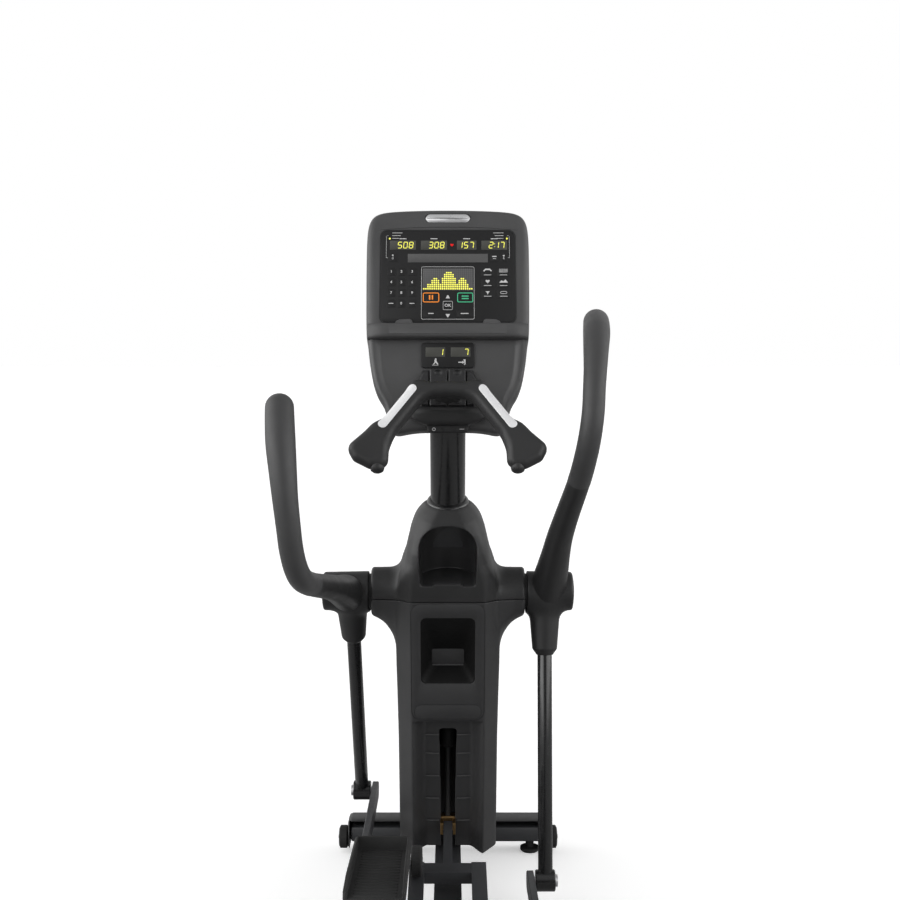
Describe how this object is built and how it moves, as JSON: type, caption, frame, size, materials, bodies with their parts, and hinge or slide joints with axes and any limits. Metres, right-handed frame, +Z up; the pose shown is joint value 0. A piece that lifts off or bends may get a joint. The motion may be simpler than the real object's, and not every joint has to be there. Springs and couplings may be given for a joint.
{
  "type": "elliptical trainer",
  "caption": "Rear-drive elliptical trainer with swinging arms, rolling foot beams, an adjustable ramp, a console tower, pulse grips and a drive housing.",
  "frame": {"origin": "bottom centre of the bounding box, on the floor", "axes": "+Z up, +Y from the drive housing to the console tower, +X to the user's right"},
  "size_m": [0.8046, 2.0359, 1.8288],
  "materials": {
    "frame_paint": "satin powder coat",
    "tube_paint": "gloss powder coat",
    "shell_plastic": "fine texture",
    "trim_plastic": "fine texture",
    "console_plastic": "fine texture",
    "display_film": "gloss",
    "grip_rubber": "matt",
    "rubber": "matt",
    "bright_steel": "brushed",
    "cast_iron": "machined",
    "bronze": "machined"
  },
  "bodies": {
    "frame": {"base_frame": "frame_paint", "foot_rear_left": "rubber", "foot_rear_right": "rubber", "foot_front_left": "rubber", "foot_front_right": "rubber", "upper_shroud_rear": "shell_plastic", "upper_shroud_front": "shell_plastic", "lower_cover_rear": "shell_plastic", "lower_cover_front": "shell_plastic", "centre_panel": "trim_plastic", "accessory_tray": "trim_plastic", "bottle_cup": "trim_plastic", "upright_tube": "tube_paint", "collar": "trim_plastic", "shoulder_axle": "bright_steel", "lift_motor": "cast_iron", "drive_belt": "rubber", "rear_housing_left": "shell_plastic", "rear_housing_right": "shell_plastic", "front_cover": "shell_plastic", "console_front": "console_plastic", "console_back": "console_plastic", "display_overlay": "display_film", "lower_display": "display_film", "console_neck": "trim_plastic", "pulse_bar": "grip_rubber", "pulse_sensor_left": "bright_steel", "pulse_sensor_right": "bright_steel"},
    "ramp": {"ramp_frame": "frame_paint"},
    "lift_nut": {"lift_nut": "bronze"},
    "lift_screw": {"lift_screw": "bright_steel"},
    "crank": {"crank_axle": "bright_steel", "crank_arm_left": "frame_paint", "crank_arm_right": "frame_paint", "drive_pulley": "cast_iron"},
    "flywheel": {"flywheel": "cast_iron"},
    "arm_left": {"arm_hub_left": "shell_plastic", "handle_left": "grip_rubber", "lower_arm_left": "tube_paint"},
    "link_pin_left": {"link_pin_left": "bright_steel"},
    "link_left": {"link_left": "frame_paint"},
    "carriage_left": {"roller_axle_left": "bright_steel"},
    "wheel_left": {"roller_wheel_left": "rubber"},
    "bushing_left": {"beam_bushing_left": "bronze"},
    "beam_left": {"foot_beam_left": "frame_paint", "foot_pad_left": "rubber"},
    "toggle_left": {"toggle_left": "trim_plastic"},
    "transport_wheel_left": {"transport_wheel_left": "rubber"},
    "arm_right": {"arm_hub_right": "shell_plastic", "handle_right": "grip_rubber", "lower_arm_right": "tube_paint"},
    "link_pin_right": {"link_pin_right": "bright_steel"},
    "link_right": {"link_right": "frame_paint"},
    "carriage_right": {"roller_axle_right": "bright_steel"},
    "wheel_right": {"roller_wheel_right": "rubber"},
    "bushing_right": {"beam_bushing_right": "bronze"},
    "beam_right": {"foot_beam_right": "frame_paint", "foot_pad_right": "rubber"},
    "toggle_right": {"toggle_right": "trim_plastic"},
    "transport_wheel_right": {"transport_wheel_right": "rubber"}
  },
  "joints": [
    {"name": "stride", "type": "hinge", "parent": "frame", "child": "arm_left", "pos_m": [-0.262, 0.63, 0.835], "axis": [1, 0, 0], "range_deg": [-35, 0]},
    {"name": "arm_right_swing", "type": "hinge", "parent": "frame", "child": "arm_right", "pos_m": [0.262, 0.63, 0.835], "axis": [1, 0, 0], "range_deg": [-0.5, 35.5]},
    {"name": "incline", "type": "hinge", "parent": "frame", "child": "ramp", "pos_m": [0, -0.06, 0.2], "axis": [1, 0, 0], "range_deg": [0, 14]},
    {"name": "link_pin_left", "type": "hinge", "parent": "arm_left", "child": "link_pin_left", "pos_m": [-0.2145, 0.98787, 0.17589], "axis": [1, 0, 0], "range_deg": [-0.5, 33.84]},
    {"name": "link_lift_left", "type": "hinge", "parent": "link_pin_left", "child": "link_left", "pos_m": [-0.2145, 0.98787, 0.17589], "axis": [1, 0, 0], "range_deg": [-12.42, 0.5]},
    {"name": "roller_left", "type": "slide", "parent": "ramp", "child": "carriage_left", "axis": [0, 0.9877, 0.1564], "range_m": [-0.44873, 0.001]},
    {"name": "wheel_left", "type": "hinge", "parent": "carriage_left", "child": "wheel_left", "pos_m": [-0.078, 0.4346, 0.18683], "axis": [1, 0, 0], "range_deg": [-2, 677.09]},
    {"name": "beam_left", "type": "hinge", "parent": "carriage_left", "child": "bushing_left", "pos_m": [-0.162, 0.4346, 0.18683], "axis": [1, 0, 0], "range_deg": [-4.8, 0.5]},
    {"name": "beam_lift_left", "type": "hinge", "parent": "bushing_left", "child": "beam_left", "pos_m": [-0.162, 0.4346, 0.18683], "axis": [1, 0, 0], "range_deg": [-7.15, 0.5]},
    {"name": "link_pin_right", "type": "hinge", "parent": "arm_right", "child": "link_pin_right", "pos_m": [0.2145, 0.5451, 0.08982], "axis": [1, 0, 0], "range_deg": [-33.84, 0.5]},
    {"name": "link_lift_right", "type": "hinge", "parent": "link_pin_right", "child": "link_right", "pos_m": [0.2145, 0.5451, 0.08982], "axis": [1, 0, 0], "range_deg": [-2.21, 0.5]},
    {"name": "roller_right", "type": "slide", "parent": "ramp", "child": "carriage_right", "axis": [0, 0.9877, 0.1564], "range_m": [-0.001, 0.44873]},
    {"name": "wheel_right", "type": "hinge", "parent": "carriage_right", "child": "wheel_right", "pos_m": [0.078, -0.00762, 0.11679], "axis": [1, 0, 0], "range_deg": [-677.09, 2]},
    {"name": "beam_right", "type": "hinge", "parent": "carriage_right", "child": "bushing_right", "pos_m": [0.162, -0.00762, 0.11679], "axis": [1, 0, 0], "range_deg": [-0.5, 4.8]},
    {"name": "beam_lift_right", "type": "hinge", "parent": "bushing_right", "child": "beam_right", "pos_m": [0.162, -0.00762, 0.11679], "axis": [1, 0, 0], "range_deg": [-13.43, 0.5]},
    {"name": "crank", "type": "hinge", "parent": "frame", "child": "crank", "pos_m": [0, -0.72, 0.27], "axis": [1, 0, 0], "continuous": true},
    {"name": "flywheel", "type": "hinge", "parent": "frame", "child": "flywheel", "pos_m": [0, -0.5, 0.165], "axis": [1, 0, 0], "continuous": true},
    {"name": "lift_nut", "type": "slide", "parent": "frame", "child": "lift_nut", "axis": [0, -0.0883, 0.9961], "range_m": [-0.001, 0.18927]},
    {"name": "lift_screw", "type": "hinge", "parent": "frame", "child": "lift_screw", "pos_m": [0, 0.74722, 0.115], "axis": [0, -0.0883, 0.9961], "continuous": true},
    {"name": "toggle_left", "type": "hinge", "parent": "frame", "child": "toggle_left", "pos_m": [-0.0326, 0.44412, 1.37308], "axis": [1, 0, 0], "range_deg": [-5, 5], "stiffness_Nm_per_rad": 1},
    {"name": "toggle_right", "type": "hinge", "parent": "frame", "child": "toggle_right", "pos_m": [0.0326, 0.44412, 1.37308], "axis": [1, 0, 0], "range_deg": [-5, 5], "stiffness_Nm_per_rad": 1},
    {"name": "transport_wheel_left", "type": "hinge", "parent": "frame", "child": "transport_wheel_left", "pos_m": [-0.3065, 0.9725, 0.042], "axis": [1, 0, 0], "continuous": true},
    {"name": "transport_wheel_right", "type": "hinge", "parent": "frame", "child": "transport_wheel_right", "pos_m": [0.3065, 0.9725, 0.042], "axis": [1, 0, 0], "continuous": true}
  ],
  "couplings": [
    {"joint": "arm_right_swing", "follows": "stride", "ratio": -1},
    {"joint": "link_pin_left", "follows": "stride", "ratio": -0.95256},
    {"joint": "link_lift_left", "follows": "incline", "ratio": -0.85176},
    {"joint": "roller_left", "follows": "stride", "m_per_rad": 0.73295},
    {"joint": "wheel_left", "follows": "stride", "ratio": -19.288},
    {"joint": "beam_left", "follows": "stride", "ratio": 0.12277},
    {"joint": "beam_lift_left", "follows": "incline", "ratio": -0.47522},
    {"joint": "link_pin_right", "follows": "stride", "ratio": 0.95256},
    {"joint": "link_lift_right", "follows": "incline", "ratio": -0.12246},
    {"joint": "roller_right", "follows": "stride", "m_per_rad": -0.73295},
    {"joint": "wheel_right", "follows": "stride", "ratio": 19.288},
    {"joint": "beam_right", "follows": "stride", "ratio": -0.12277},
    {"joint": "beam_lift_right", "follows": "incline", "ratio": -0.92323},
    {"joint": "crank", "follows": "stride", "ratio": 5.1429},
    {"joint": "flywheel", "follows": "stride", "ratio": 24},
    {"joint": "lift_nut", "follows": "incline", "m_per_rad": 0.77052},
    {"joint": "lift_screw", "follows": "incline", "ratio": 242.07}
  ]
}
